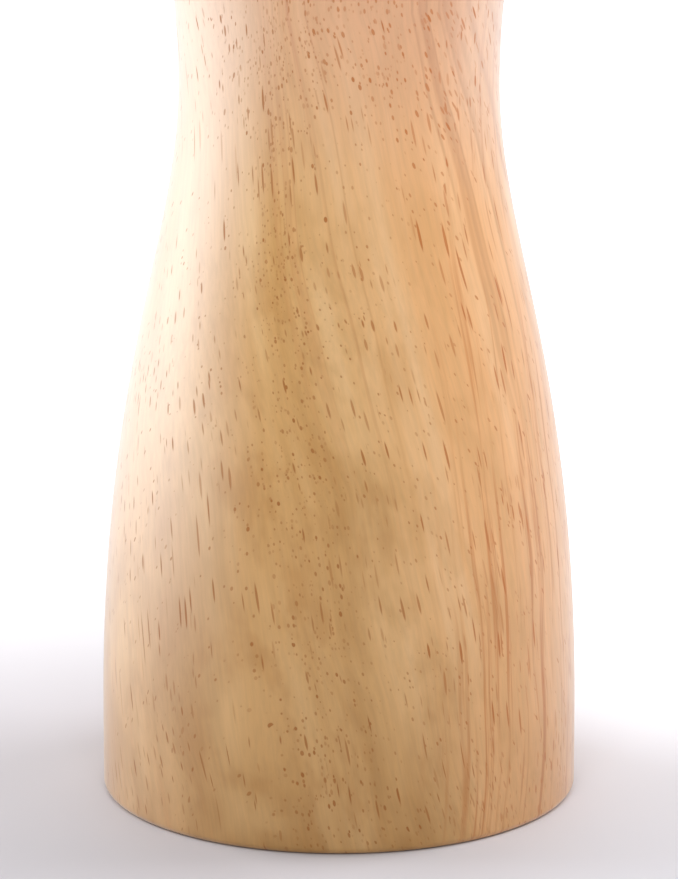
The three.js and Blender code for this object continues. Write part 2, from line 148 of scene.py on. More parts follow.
FEED_GROOVES = 8
FEED_DEPTH = 0.9 * MM
KNOB_FLUTES = 36
FLUTE_DEPTH = 0.18 * MM
SHAFT_THREAD = {"pitch": 1.0 * MM, "depth": 0.45 * MM}
FLANK_SLOPE = 2.6  # a thread's groove has its full depth 1 / 2.6 of a pitch from its crest
SCREW_THREAD_DEPTH = 0.24  # as a share of the shank's radius

# Screws, in millimetres. shank and head are radii, and length is past the head's bearing face.
BASE_SCREW = dict(shank=1.3, head=2.3, head_height=1.6, length=11, pitch=1.1, pointed=True)
ROTOR_SCREW = dict(shank=1.5, head=2.8, head_height=2, length=11, pitch=0.5, pointed=False)
TURN_SCREW = dict(shank=1.2, head=2.4, head_height=1.5, length=8, pitch=1.0, pointed=True)

# ---- Sizes that follow from these ----

SHAFT_CORNER = SHAFT_HALF * math.sqrt(2)
SHAFT_BORE = SHAFT_CORNER + RUNNING
SQUARE_HOLE = SHAFT_HALF + RUNNING / 2
THREAD_RADIUS = SHAFT_HALF - SEAT
KNOB_BORE = SHAFT_HALF + RUNNING
SCREW_CIRCLE = (CUP_RADIUS + FLANGE_RADIUS) / 2
TURN_SCREW_CIRCLE = (SQUARE_HOLE * math.sqrt(2) + TURN_PLATE_RADIUS) / 2
HEAD_BASE = high("glide_washer").z + SEAT

# ---- Counts for the meshes ----

THREE_WAYS = [2 * math.pi * i / 3 for i in range(3)]  # angles of the spokes and of each set of screws
ROUND = 192  # segments of the large turned pieces,
FINE = 96  # of the small ones,
SMALL = 40  # and of the screws and their holes
SHAFT_ROWS = 10  # rows of vertices in a turn of the shaft's thread
SCREW_ROWS = 8  # and of a screw's
SLIVER = 0.001 * MM  # a boolean's edges shorter than this are closed up

# ---- Camera and backdrop ----

CAMERA_DISTANCE = 0.8
CAMERA_ELEVATION = math.radians(15.07)
CAMERA_AIM_HEIGHT = 43.6 * MM
CAMERA_LENS = 269.0  # mm, on Blender's 36 mm sensor
WORLD_LIGHT = 0.3

# ---- Outlines ----


def arc(centre_r, centre_z, radius, start, end, steps):
    """Points of (radius, height) on a circle's arc between two angles in degrees."""
    angles = [math.radians(start + (end - start) * i / steps) for i in range(steps + 1)]
    return [(centre_r + radius * math.cos(a), centre_z + radius * math.sin(a)) for a in angles]


def bezier(a, b, c, d, steps):
    """Points on a cubic curve."""
    points = []
    for i in range(steps + 1):
        t = i / steps
        s = 1 - t
        weights = (s**3, 3 * s * s * t, 3 * s * t * t, t**3)
        points.append(tuple(sum(w * p[k] for w, p in zip(weights, (a, b, c, d))) for k in (0, 1)))
    return points


def upright(a, b, pulls, steps):
    """An S-curve that leaves a and reaches b upright. The pulls are shares of the rise."""
    rise = b[1] - a[1]
    return bezier(a, (a[0], a[1] + pulls[0] * rise), (b[0], b[1] - pulls[1] * rise), b, steps)


def split(a, b, steps):
    """Points on a straight line, without its last one."""
    dr, dz = b[0] - a[0], b[1] - a[1]
    return [(a[0] + dr * i / steps, a[1] + dz * i / steps) for i in range(steps)]


# ---- Meshes ----


def show(name, vertices, faces, sharp=30):
    """A new object with that mesh, smooth except at edges sharper than an angle in degrees."""
    mesh = bpy.data.meshes.new(name)
    mesh.from_pydata(vertices, [], faces)
    mesh.validate()
    obj = bpy.data.objects.new(name, mesh)
    bpy.context.scene.collection.objects.link(obj)
    shade(obj, sharp)
    return obj


def shade(obj, sharp=30):
    mesh = obj.data
    mesh.polygons.foreach_set("use_smooth", [True] * len(mesh.polygons))
    mesh.set_sharp_from_angle(angle=math.radians(sharp))


def turned(name, outline, segments=FINE, worked=None):
    """A closed outline in (radius, height), counter-clockwise in that plane, turned about Z.

    An outline that starts and ends on the axis is solid. worked(angle, radius, height) gives each
    vertex a new (angle, radius). The map has the circumference across and the outline's length up.
    """
    solid = outline[0][0] == 0 and outline[-1][0] == 0
    rows = list(outline)
    vertices, row_starts = [], []
    for radius, height in rows:
        row_starts.append(len(vertices))
        if radius == 0:
            vertices.append((0, 0, height))
            continue
        for i in range(segments):
            angle = 2 * math.pi * i / segments
            a, r = worked(angle, radius, height) if worked else (angle, radius)
            vertices.append((r * math.cos(a), r * math.sin(a), height))
    lengths = [0.0]
    closed = rows + ([] if solid else [rows[0]])
    for p, q in zip(closed, closed[1:]):
        lengths.append(lengths[-1] + math.dist(p, q))
    faces, maps = [], []
    for k in range(len(closed) - 1):
        a, b = row_starts[k], row_starts[(k + 1) % len(rows)]
        va, vb = lengths[k] / lengths[-1], lengths[k + 1] / lengths[-1]
        for i in range(segments):
            j = (i + 1) % segments
            ua, ub = i / segments, (i + 1) / segments
            corners = [(a + i, ua, va), (a + j, ub, va), (b + j, ub, vb), (b + i, ua, vb)]
            if rows[k][0] == 0:
                corners = [(a, (ua + ub) / 2, va), corners[2], corners[3]]
            elif closed[k + 1][0] == 0:
                corners = [corners[0], corners[1], (b, (ua + ub) / 2, vb)]
            faces.append([c[0] for c in corners])
            maps.extend((u, v) for _, u, v in corners)
    obj = show(name, vertices, faces)
    layer = obj.data.uv_layers.new(name="OFBake")
    for loop, uv in zip(layer.data, maps):
        loop.uv = uv
    return obj


def soften(corners, size, steps=4):
    """A closed outline with its corners rounded. A corner on the axis stays sharp."""
    made = []
    for before, corner, after in zip([corners[-1], *corners], corners, [*corners[1:], corners[0]]):
        if corner[0] == 0:
            made.append(corner)
            continue
        ends = []
        for other in (before, after):
            share = min(0.4, size / math.dist(corner, other))
            ends.append(tuple(c + share * (o - c) for c, o in zip(corner, other)))
        made.extend(bezier(ends[0], corner, corner, ends[1], steps))
    return made


def ring(inner, outer, base, top):
    return [(inner, base), (outer, base), (outer, top), (inner, top)]


def disc(radius, base, top):
    return [(0, base), (radius, base), (radius, top), (0, top)]


def block(low_corner, high_corner):
    (x0, y0, z0), (x1, y1, z1) = low_corner, high_corner
    vertices = [(x, y, z) for z in (z0, z1) for x, y in ((x0, y0), (x1, y0), (x1, y1), (x0, y1))]
    faces = [(3, 2, 1, 0), (4, 5, 6, 7), (0, 1, 5, 4), (1, 2, 6, 5), (2, 3, 7, 6), (3, 0, 4, 7)]
    return show("block", vertices, faces)


def square_bar(half, base, top):
    return block((-half, -half, base), (half, half, top))


def pin(outline, circle):
    """A round tool beside the axis. It is turned by half a facet, which keeps the boolean whole."""
    obj = turned("pin", outline, SMALL)
    obj.data.transform(Matrix.Translation((circle, 0, 0)) @ Matrix.Rotation(math.pi / SMALL, 4, "Z"))
    return obj


def around(make):
    """Three tools from make(), at equal angles about the axis."""
    made = []
    for angle in THREE_WAYS:
        obj = make()
        obj.data.transform(Matrix.Rotation(angle, 4, "Z"))
        made.append(obj)
    return made


def base_screw_holes(top):
    hole = disc(BASE_SCREW["shank"] * MM + SEAT, 0, top)
    return around(lambda: pin(hole, SCREW_CIRCLE))


def combine(obj, tools, operation):
    """Cuts or joins obj with the tools by boolean, and removes the tools."""
    for tool in tools:
        modifier = obj.modifiers.new("combine", "BOOLEAN")
        modifier.operation, modifier.solver, modifier.object = operation, "EXACT", tool
        graph = bpy.context.evaluated_depsgraph_get()
        made = bpy.data.meshes.new_from_object(obj.evaluated_get(graph))
        obj.modifiers.clear()
        obj.data = made
        bpy.data.objects.remove(tool)
    bm = bmesh.new()
    bm.from_mesh(obj.data)
    bmesh.ops.remove_doubles(bm, verts=bm.verts, dist=SLIVER)
    bmesh.ops.dissolve_degenerate(bm, edges=bm.edges, dist=SLIVER)
    bm.to_mesh(obj.data)
    bm.free()
    while obj.data.uv_layers:
        obj.data.uv_layers.remove(obj.data.uv_layers[0])
    shade(obj)
    return obj


def thread_groove(pitch, depth, angle, height):
    """How deep a right-hand thread's groove is there."""
    turn = (height / pitch - angle / (2 * math.pi)) % 1
    return depth * min(1, FLANK_SLOPE * min(turn, 1 - turn))


def tooth(count, angle, lean=1.0):
    """A saw tooth: 1 at its edge, falling to 0 just before the next one. lean is 1 or -1."""
    return 1 - (lean * count * angle / (2 * math.pi)) % 1


def wave(count, angle):
    return 0.5 + 0.5 * math.cos(count * angle)


def place(obj, body, material, *nodes):
    """Gives a piece its material and slot, hides the CAD nodes it stands for, and rides it on a body.

    The body is None for a piece that is blended between two.
    """
    obj.data.materials.clear()
    obj.data.materials.append(material)
    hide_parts(*nodes)
    if body:
        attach(obj, body)
    return obj


# ---- Materials ----


class Shader:
    """A material whose nodes are made by short calls. Inputs may be sockets, numbers or tuples.

    Its name is its slot too. The uniform values are set on the Principled shader's own sockets.
    """

    def __init__(self, name, **uniform):
        self.material = bpy.data.materials.new(name)
        self.material["slot"] = name
        self.material.use_nodes = True
        self.nodes = self.material.node_tree.nodes
        self.links = self.material.node_tree.links
        self.bsdf = self.nodes["Principled BSDF"]
        for socket, value in uniform.items():
            self.bsdf.inputs[socket.replace("_", " ")].default_value = value

    def put(self, socket, value):
        if isinstance(value, bpy.types.NodeSocket):
            self.links.new(value, socket)
        elif value is not None:
            socket.default_value = value

    def add(self, kind, settings, inputs, output=0):
        node = self.nodes.new("ShaderNode" + kind)
        for key, value in settings.items():
            setattr(node, key, value)
        for key, value in inputs.items():
            self.put(node.inputs[key], value)
        return node.outputs[output]

    def position(self):
        """The place in the piece's own frame, in millimetres."""
        coordinates = self.add("TexCoord", {}, {}, "Object")
        return self.add("VectorMath", {"operation": "SCALE"}, {0: coordinates, "Scale": 1 / MM})

    def split(self, vector):
        node = self.nodes.new("ShaderNodeSeparateXYZ")
        self.put(node.inputs[0], vector)
        return node.outputs

    def join(self, x, y, z):
        return self.add("CombineXYZ", {}, {0: x, 1: y, 2: z})

    def calc(self, operation, a, b=None, c=None, clamp=False):
        return self.add("Math", {"operation": operation, "use_clamp": clamp}, {0: a, 1: b, 2: c})

    def times(self, a, b):
        return self.calc("MULTIPLY", a, b)

    def from_axis(self, x, y):
        """The distance from the Z axis."""
        return self.calc("SQRT", self.calc("ADD", self.times(x, x), self.times(y, y)))

    def noise(self, vector, scale, detail=2.0, roughness=0.5, output="Fac"):
        inputs = {"Vector": vector, "Scale": scale, "Detail": detail, "Roughness": roughness}
        return self.add("TexNoise", {}, inputs, output)

    def fade(self, value, start, end, to_start=0.0, to_end=1.0):
        """A smooth step from to_start at start to to_end at end."""
        settings = {"interpolation_type": "SMOOTHSTEP"}
        return self.add("MapRange", settings, {0: value, 1: start, 2: end, 3: to_start, 4: to_end})

    def mix(self, factor, a, b, blend="MIX"):
        node = self.nodes.new("ShaderNodeMix")
        node.data_type, node.blend_type = "RGBA", blend
        for index, value in ((0, factor), (6, a), (7, b)):
            self.put(node.inputs[index], value)
        return node.outputs[2]

    def ramp(self, factor, *stops):
        """Colours at places from 0 to 1."""
        node = self.nodes.new("ShaderNodeValToRGB")
        elements = node.color_ramp.elements
        while len(elements) < len(stops):
            elements.new(0.5)
        for element, (where, colour) in zip(elements, stops):
            element.position, element.color = where, colour
        self.put(node.inputs[0], factor)
        return node.outputs[0]

    def bump(self, height, strength, distance):
        return self.add("Bump", {}, {"Height": height, "Strength": strength, "Distance": distance})

    def finish(self, colour, roughness, normal):
        self.put(self.bsdf.inputs["Base Color"], colour)
        self.put(self.bsdf.inputs["Roughness"], roughness)
        self.put(self.bsdf.inputs["Normal"], normal)
        return self.material


def rgb(code):
    """A display colour such as D2AA78 as a linear colour."""
    parts = [int(code[i : i + 2], 16) / 255 for i in (0, 2, 4)]
    return tuple(p / 12.92 if p <= 0.04045 else ((p + 0.055) / 1.055) ** 2.4 for p in parts) + (1.0,)


BAND_STOPS = (0.28, 0.46, 0.60, 0.78)  # places of the four wood tones


def rubberwood():
    """Lacquered rubberwood: slanting bands, fine lines at the sides, and vessels of several lengths.
    Its colour also holds painted light: highlights at the sides, a rosy light from the waist up and
    shade at the foot.

    Places are in millimetres, and +X and -X are the barrel's sides. A noise's scale is per millimetre.
    """
    lacquer = {"Coat_Weight": 0.3, "Coat_Roughness": 0.3, "Sheen_Weight": 0.6, "Sheen_Roughness": 0.3}
    s = Shader("rubberwood", **lacquer)
    place_mm = s.position()
    # the grain wanders slowly
    drift = s.noise(place_mm, 0.03, 1.0, output="Color")
    drift = s.add("VectorMath", {"operation": "SUBTRACT"}, {0: drift, 1: (0.5, 0.5, 0.5)})
    drift = s.add("VectorMath", {"operation": "MULTIPLY"}, {0: drift, 1: (6.0, 6.0, 0.0)})
    x, y, z = s.split(s.add("VectorMath", {"operation": "ADD"}, {0: place_mm, 1: drift}))
    up = s.add("Clamp", {}, {"Value": s.calc("SUBTRACT", z, 45.0), "Min": -60.0, "Max": 55.0})

    # the fibres lean to -X as they rise: little on the -X side, most in the middle
    to_left = s.fade(x, -3.0, -19.0)
    to_right = s.fade(x, 8.0, 26.0)
    lean = s.calc("MULTIPLY_ADD", to_left, -0.17, s.calc("MULTIPLY_ADD", to_right, -0.08, 0.23))
    across = s.calc("MULTIPLY_ADD", up, lean, x)
    back = s.calc("MULTIPLY_ADD", up, s.times(to_left, -0.22), y)

    # broad soft bands, a warmer side on +X, and one darker band just to -X of the middle
    stretched = s.join(across, s.times(y, 0.4), s.times(z, 0.06))
    bands = s.noise(stretched, 0.12, 3.0, 0.6)
    warm_side = s.fade(across, -4.0, 22.0)
    cool = s.ramp(bands, *zip(BAND_STOPS, map(rgb, ("C4924E", "D8A868", "E1B578", "EAC692"))))
    warm = s.ramp(bands, *zip(BAND_STOPS, map(rgb, ("D59A5C", "E4AC70", "ECB277", "F2C490"))))
    colour = s.mix(warm_side, cool, warm)
    from_band = s.calc("ABSOLUTE", s.calc("ADD", s.calc("MULTIPLY_ADD", up, 0.08, x), 5.0))
    dark_band = s.fade(from_band, 7.5, 1.0, 0.0, s.fade(bands, 0.7, 0.4))
    colour = s.mix(s.times(dark_band, s.fade(z, 45.0, 75.0, 0.3, 0.12)), colour, rgb("BA8438"))

    # edges of growth rings, most of them high up, and fine lines where the sides cut layers edge on
    edges = s.noise(s.join(across, 3.0, s.times(z, 0.008)), 0.42, 2.0, 0.5)
    edge = s.times(s.fade(edges, 0.55, 0.585), s.fade(edges, 0.66, 0.585))
    middle_part = s.times(s.fade(across, -8.0, 6.0), s.fade(z, 35.0, 85.0, 0.15, 0.75))
    colour = s.mix(s.times(edge, middle_part), colour, rgb("C98C50"))
    layer = s.calc("ADD", s.calc("MULTIPLY_ADD", z, -0.04, y), s.times(x, 0.35))
    fine = s.noise(s.join(layer, 5.0, s.times(z, 0.02)), 1.15, 3.0, 0.6)
    beside = s.fade(s.calc("ABSOLUTE", x), 8.0, 20.0)
    lined = s.times(beside, s.calc("MULTIPLY_ADD", s.fade(x, -5.0, 15.0), 0.62, 0.18))
    lined = s.times(lined, s.fade(z, 104.0, 84.0, 0.2, 1.0))
    colour = s.mix(s.times(s.fade(fine, 0.52, 0.66), lined), colour, rgb("CA7A32"))

    # olive-brown clouds, more of them low down
    clouds = s.noise(s.join(across, y, s.times(z, 0.5)), 0.075, 3.0, 0.6)
    clouds = s.fade(s.calc("ADD", clouds, s.fade(z, 75.0, 0.0, -0.06, 0.1)), 0.5, 0.7, 0.0, 0.5)
    clouds = s.times(clouds, s.fade(across, 14.0, -4.0, 0.3, 1.0))
    colour = s.mix(clouds, colour, rgb("AF7C34"))

    # stained patches, where the vessels gather
    clusters = s.noise(s.join(across, y, s.times(z, 0.5)), 0.19, 3.0, 0.6)
    stain = s.times(s.fade(clusters, 0.46, 0.66, 0.0, 0.42), s.fade(z, 110.0, 30.0, 0.45, 1.0))
    stain = s.times(stain, s.fade(across, 16.0, -2.0, 0.4, 1.0))
    colour = s.mix(stain, colour, rgb("B47C32"))

    # painted rosy light: a pinker colour that rises through the waist and stays at full strength above
    # 104 mm
    colour = s.mix(s.fade(z, 72.0, 104.0, 0.0, 0.4), colour, rgb("CC9A88"))

    # painted highlights: a pale colour at both sides, where the side lights glance off, more of it on
    # -X
    side = s.calc("DIVIDE", x, s.from_axis(x, y))
    painted_highlight_left = s.times(s.fade(side, -0.34, -0.82), s.fade(z, 0.0, 60.0, 0.12, 0.6))
    painted_highlight_right = s.times(s.fade(side, 0.5, 0.95), s.fade(z, 72.0, 100.0, 0.0, 0.35))
    colour = s.mix(s.calc("MAXIMUM", painted_highlight_left, painted_highlight_right), colour, rgb("F3DDC9"))

    # fibres, and painted shade that darkens the foot a little
    fibres = s.noise(s.join(across, back, s.times(z, 0.06)), 2.2, 3.0, 0.65)
    tone = s.times(s.fade(fibres, 0.25, 0.75, 0.96, 1.06), s.fade(z, 0.0, 45.0, 0.94, 1.0))
    colour = s.mix(1.0, colour, s.join(tone, tone, tone), "MULTIPLY")

    # vessels: dots where the grain leans out of the surface, dashes elsewhere, streaks at the sides
    crowd = s.calc("MULTIPLY_ADD", dark_band, 0.25, s.fade(clusters, 0.32, 0.62, 0.4, 0.95))
    leaning_out = s.calc("MAXIMUM", s.fade(z, 78.0, 96.0), s.fade(bands, 0.48, 0.38, 0.0, 0.6))
    leaning_out = s.calc("MAXIMUM", leaning_out, s.times(dark_band, 0.7))
    leaning_out = s.times(leaning_out, s.fade(x, 20.0, 10.0, 0.35, 1.0))
    leaning_out = s.times(leaning_out, s.fade(x, -15.0, -7.0, 0.15, 1.0))
    out = s.calc("MULTIPLY_ADD", z, 0.5, y)
    dotted = s.times(crowd, leaning_out)
    fewer_left = s.calc("MULTIPLY_ADD", to_left, -0.35, 1.0)
    thinned = s.times(crowd, fewer_left)
    flat = s.times(thinned, s.calc("MULTIPLY_ADD", leaning_out, -0.7, 1.0))
    flat = s.times(flat, s.fade(across, -2.0, 8.0, 1.0, 1.3))
    dots = vessels(s, across, out, s.times(z, 0.2), 0.66, 0.24, dotted)
    few = s.times(thinned, s.calc("MULTIPLY_ADD", leaning_out, 0.5, 0.35))
    specks = vessels(s, out, across, s.times(z, 0.26), 0.5, 0.24, few)
    dashes = vessels(s, across, back, s.times(z, 0.085), 0.7, 0.19, flat)
    at_sides = s.times(beside, 0.76)
    streaks = vessels(s, across, back, s.times(z, 0.045), 0.62, 0.19, at_sides)
    pores = s.calc("MAXIMUM", s.calc("MAXIMUM", dots, dashes), s.times(streaks, 0.9))
    pores = s.calc("MAXIMUM", pores, s.times(specks, 0.8))
    pore_colour = s.mix(warm_side, rgb("A35E06"), rgb("C0680E"))
    colour = s.mix(s.times(pores, 0.9), colour, pore_colour)

    roughness = s.calc("MULTIPLY_ADD", fibres, 0.12, 0.36)
    roughness = s.calc("MULTIPLY_ADD", pores, 0.2, roughness, clamp=True)
    grooves = s.calc("MULTIPLY_ADD", pores, -1.0, s.times(fibres, 0.10))
    return s.finish(colour, roughness, s.bump(grooves, 0.3, 0.1 * MM))


def vessels(s, x, y, z, cell, reach, crowd):
    """Open vessels, from 0.3 where faint to 1. crowd is the share of the cells that hold one."""
    node = s.nodes.new("ShaderNodeTexVoronoi")
    s.put(node.inputs["Vector"], s.join(x, y, z))
    s.put(node.inputs["Scale"], 1 / cell)
    chance, width, depth = s.split(node.outputs["Color"])
    is_open = s.fade(s.calc("ADD", chance, crowd), 0.97, 1.03)
    size = s.times(is_open, s.calc("MULTIPLY_ADD", width, 0.8 * reach, 0.5 * reach))
    inside = s.fade(s.calc("SUBTRACT", node.outputs["Distance"], size), 0.07, -0.05)
    strength = s.calc("MULTIPLY_ADD", depth, 0.7, 0.3)
    return s.times(s.times(is_open, inside), strength)


def metal(name, code, roughness, grain, stretch):
    """Steel with fine tool marks. stretch squeezes the marks along each axis."""
    s = Shader(name, Metallic=1.0)
    marks = s.add("VectorMath", {"operation": "MULTIPLY"}, {0: s.position(), 1: stretch})
    fine = s.noise(marks, grain, 3.0, 0.6)
    smudge = s.noise(s.position(), 0.12, 2.0)
    base = rgb(code)
    darker = tuple(0.82 * c for c in base[:3]) + (1.0,)
    colour = s.mix(s.fade(fine, 0.3, 0.7), darker, base)
    rough = s.calc("MULTIPLY_ADD", fine, 0.16, s.calc("MULTIPLY_ADD", smudge, 0.08, roughness - 0.12))
    return s.finish(colour, rough, s.bump(fine, 0.12, 0.02 * MM))


def matt(name, code, dark, roughness, grain, strength):
    """Plastic or ceramic with a fine moulded or fired grain."""
    s = Shader(name)
    where = s.position()
    fine = s.noise(where, grain, 3.0, 0.6)
    cloud = s.noise(where, 0.15, 2.0)
    tone = s.calc("MULTIPLY_ADD", fine, 0.5, s.times(cloud, 0.5))
    colour = s.ramp(tone, (0.3, rgb(dark)), (0.7, rgb(code)))
    rough = s.calc("MULTIPLY_ADD", fine, 0.15, roughness - 0.07)
    return s.finish(colour, rough, s.bump(fine, strength, 0.03 * MM))


WOOD = rubberwood()
STAINLESS = metal("stainless_steel", "C9C9C7", 0.30, 2.0, (1.0, 1.0, 12.0))
POLISHED = metal("polished_steel", "D6D5D2", 0.12, 1.6, (1.0, 1.0, 8.0))
ZINC = metal("zinc_steel", "BFC2C6", 0.36, 1.5, (3.0, 3.0, 0.3))
WIRE = metal("spring_steel", "A9AAAC", 0.30, 4.0, (1.0, 1.0, 1.0))
NYLON = matt("white_nylon", "EDE9DF", "E2DDD0", 0.5, 3.0, 0.1)
PLASTIC = matt("black_plastic", "242427", "17171A", 0.5, 5.0, 0.25)
CERAMIC = matt("ceramic", "F0EDE4", "E2DDD0", 0.5, 4.0, 0.2)

# ---- Barrel ----


def barrel():
    waist = (WAIST_RADIUS, WAIST_HEIGHT)
    outside = [
        *arc(FOOT_RADIUS - EDGE_ROUND, EDGE_ROUND, EDGE_ROUND, -90, 0, 8),
        *upright((FOOT_RADIUS, FOOT_STRAIGHT), waist, BELL_CURVE, 64),
        *upright(waist, (LIP_RADIUS, BARREL_TOP - EDGE_ROUND), THROAT_CURVE, 28)[1:],
        *arc(LIP_RADIUS - EDGE_ROUND, BARREL_TOP - EDGE_ROUND, EDGE_ROUND, 0, 90, 8)[1:],
    ]
    flange_seat = RING_TOP - RING_FLANGE_THICKNESS - SEAT
    sleeve_seat = RING_BASE - SEAT
    sleeve = HOPPER_RADIUS + RING_WALL + SEAT
    cup, flange = CUP_RADIUS + SEAT, FLANGE_RADIUS + SEAT
    flange_top = GRINDER_BASE + FLANGE_THICKNESS + SEAT
    foot_edge = 0.4 * MM
    inside = [
        (RING_FLANGE + SEAT, BARREL_TOP),
        (RING_FLANGE + SEAT, flange_seat),
        (sleeve, flange_seat),
        (sleeve, sleeve_seat),
        *split((HOPPER_RADIUS, sleeve_seat), (HOPPER_RADIUS, HOUSING_TOP + SEAT), 8),
        (HOPPER_RADIUS, HOUSING_TOP + SEAT),
        (cup, HOUSING_TOP + SEAT),
        (cup, flange_top),
        (flange, flange_top),
        (flange, foot_edge),
        (flange + foot_edge, 0),
    ]
    return turned("barrel_wood", outside + inside, ROUND)


# ---- Head ----


def head():
    widest = (HEAD_RADIUS, HEAD_BASE + HEAD_WIDEST)
    rise = HEAD_TOP - widest[1]
    dome = bezier(
        widest,
        (HEAD_RADIUS, widest[1] + DOME_RISE * rise),
        (CROWN_RADIUS + DOME_SPREAD * (HEAD_RADIUS - CROWN_RADIUS), HEAD_TOP),
        (CROWN_RADIUS, HEAD_TOP),
        56,
    )
    tenon = HOPPER_RADIUS - RUNNING
    edge = 0.4 * MM
    outline = [
        (SHAFT_BORE, TENON_BASE),
        (tenon - edge, TENON_BASE),
        (tenon, TENON_BASE + edge),
        (tenon, HEAD_BASE),
        *arc(LIP_RADIUS - EDGE_ROUND, HEAD_BASE + EDGE_ROUND, EDGE_ROUND, -90, 0, 8),
        *upright((LIP_RADIUS, HEAD_BASE + EDGE_ROUND), widest, HEAD_CURVE, 36)[1:],
        *dome[1:],
        (SHAFT_BORE, HEAD_TOP),
    ]
    return turned("head_wood", outline, ROUND)


# ---- Fasteners ----


def screw(name, sizes, bearing, circle=0.0, angle=0.0, flat=False):
    """A screw with a cross recess, its head below its bearing face and its shank above it.

    A flat head is countersunk. Its cone starts at its flat face, which is at the bearing's height.
    """
    shank, head_radius = sizes["shank"] * MM, sizes["head"] * MM
    head_height, length = sizes["head_height"] * MM, sizes["length"] * MM
    pitch, depth = sizes["pitch"] * MM, SCREW_THREAD_DEPTH * sizes["shank"] * MM
    if flat:
        crown = bearing
        outline = [(0, crown), (head_radius - 0.1 * MM, crown), (head_radius, crown + 0.1 * MM)]
        start = crown + head_height
    else:
        crown = bearing - head_height
        rim = bearing - 0.5 * head_height
        dome = ((0.55 * head_radius, crown), (0.95 * head_radius, crown), (head_radius, rim))
        outline = [(0, crown), *bezier(*dome, (head_radius, bearing - 0.1 * MM), 10)]
        outline.append((head_radius - 0.1 * MM, bearing))
        start = bearing
    end = bearing + length
    tip = 1.6 * shank if sizes["pointed"] else 0.4 * shank
    rows = round((end - tip - start) / pitch * SCREW_ROWS)
    outline += split((shank, start), (shank, end - tip), rows)
    outline += split((shank, end - tip), (0.1 * MM if sizes["pointed"] else 0.7 * shank, end), 10)
    outline += [(0, end)]

    def worked(a, radius, height):
        if height < start + 0.4 * pitch or radius > shank or radius < 0.15 * MM:
            return a, radius
        return a, radius - min(1, 1.2 * radius / shank) * thread_groove(pitch, depth, a, height)

    obj = turned(name, outline, SMALL, worked)
    reach, width, deep = 0.56 * head_radius, 0.11 * head_radius, 0.62 * head_height
    halves = ((reach, width), (width, reach))
    bars = [block((-x, -y, crown - MM), (x, y, crown + deep)) for x, y in halves]
    combine(obj, bars, "DIFFERENCE")
    obj.data.transform(Matrix.Rotation(angle, 4, "Z") @ Matrix.Translation((circle, 0, 0)))
    return obj


def screws(name, body, sizes, bearing, circle, flat=False):
    for i, angle in enumerate(THREE_WAYS):
        node = f"{name}_{i + 1}"
        place(screw(f"{node}_cross_head", sizes, bearing, circle, angle, flat), body, ZINC, node)


# ---- Mouth ring and glide washer ----


def mouth_ring():
    sleeve = HOPPER_RADIUS + RING_WALL
    flange_base = RING_TOP - RING_FLANGE_THICKNESS
    corners = [
        (HOPPER_RADIUS, RING_BASE),
        (sleeve, RING_BASE),
        (sleeve, flange_base),
        (RING_FLANGE, flange_base),
        (RING_FLANGE, RING_TOP),
        (HOPPER_RADIUS, RING_TOP),
    ]
    return turned("mouth_bush", soften(corners, 0.25 * MM), ROUND)


def glide_washer():
    corners = ring(HOPPER_RADIUS, RING_FLANGE, low("glide_washer").z, high("glide_washer").z)
    return turned("glide_ring", soften(corners, 0.15 * MM), ROUND)


# ---- Grinder ----


def grinder_housing():
    pocket = STATOR_RADIUS + SEAT
    ledge = STATOR_TOP + SEAT
    flange_top = GRINDER_BASE + FLANGE_THICKNESS
    cup = [
        (pocket, GRINDER_BASE),
        (FLANGE_RADIUS, GRINDER_BASE),
        (FLANGE_RADIUS, flange_top),
        (CUP_RADIUS, flange_top),
        (CUP_RADIUS, HOUSING_TOP),
        (CHAMBER_RADIUS, HOUSING_TOP),
        (CHAMBER_RADIUS, ledge),
        (pocket, ledge),
    ]
    obj = turned("grinder_cup", soften(cup, 0.35 * MM), ROUND)
    bridge = HOUSING_TOP - BRIDGE_THICKNESS
    hub = soften(ring(SHAFT_BORE, SHAFT_BORE + HUB_WALL, bridge, HOUSING_TOP), 0.4 * MM)
    inner, outer = SHAFT_BORE + 0.5 * HUB_WALL, 0.5 * (CHAMBER_RADIUS + CUP_RADIUS)

    def spoke():
        """A bar with round long edges. It sits just inside the bridge's height."""
        half, top, base = SPOKE_WIDTH / 2, HOUSING_TOP - SEAT / 2, bridge + SEAT / 2
        section = soften([(-half, base), (half, base), (half, top), (-half, top)], 0.5 * MM)
        count = len(section)
        vertices = [(x, y, z) for x in (inner, outer) for y, z in section]
        faces = [tuple(range(count - 1, -1, -1)), tuple(range(count, 2 * count))]
        for i in range(count):
            j = (i + 1) % count
            faces.append((i, j, count + j, count + i))
        return show("spoke", vertices, faces)

    combine(obj, around(spoke), "UNION")
    combine(obj, [turned("hub", hub)], "UNION")
    return combine(obj, base_screw_holes(flange_top + MM), "DIFFERENCE")


def stator_tip(height):
    """Radius of the stator's tooth tips at a height above its lower face."""
    return BURR_MOUTH - BURR_TAPER * height / FINE_TEETH_HEIGHT


